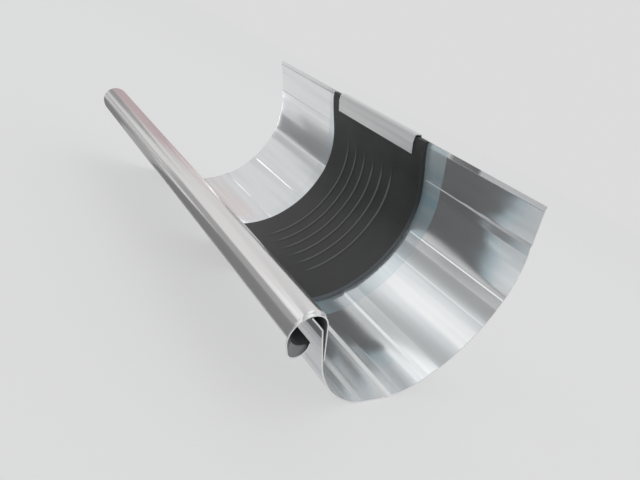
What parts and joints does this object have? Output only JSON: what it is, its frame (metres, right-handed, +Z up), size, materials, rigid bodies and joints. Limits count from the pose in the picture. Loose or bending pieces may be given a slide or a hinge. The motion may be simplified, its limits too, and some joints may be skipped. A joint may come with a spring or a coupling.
{
  "type": "gutter expansion joint",
  "caption": "Half-round gutter expansion joint: bent sheet halves bridged by a ribbed rubber strip, with a bead sleeve along the front and a folded clip over the rear edge.",
  "frame": {"origin": "middle of the footprint on the floor, with the joint at rest on a flat of its bottom", "axes": "+Y along the gutter from the near half to the far half, +Z up from the floor, +X from the bead towards the rear wall"},
  "size_m": [0.1724, 0.3, 0.1411],
  "materials": {
    "gutter_sheet": "bright galvanised sheet with faint rolling lines",
    "sleeve_sheet": "bright galvanised sheet with faint rolling lines",
    "clip_sheet": "bright galvanised sheet",
    "rubber": "matt black"
  },
  "bodies": {
    "far_side": {"far_gutter_half": "gutter_sheet", "rubber_strip": "rubber", "bead_sleeve": "sleeve_sheet", "rear_clip": "clip_sheet"},
    "near_side": {"near_gutter_half": "gutter_sheet"}
  },
  "joints": [
    {"name": "expansion", "type": "slide", "parent": "far_side", "child": "near_side", "axis": [0, -1, 0], "range_m": [-0.01, 0.012], "stiffness_N_per_m": 10000, "deforming": ["rubber_strip"]}
  ]
}
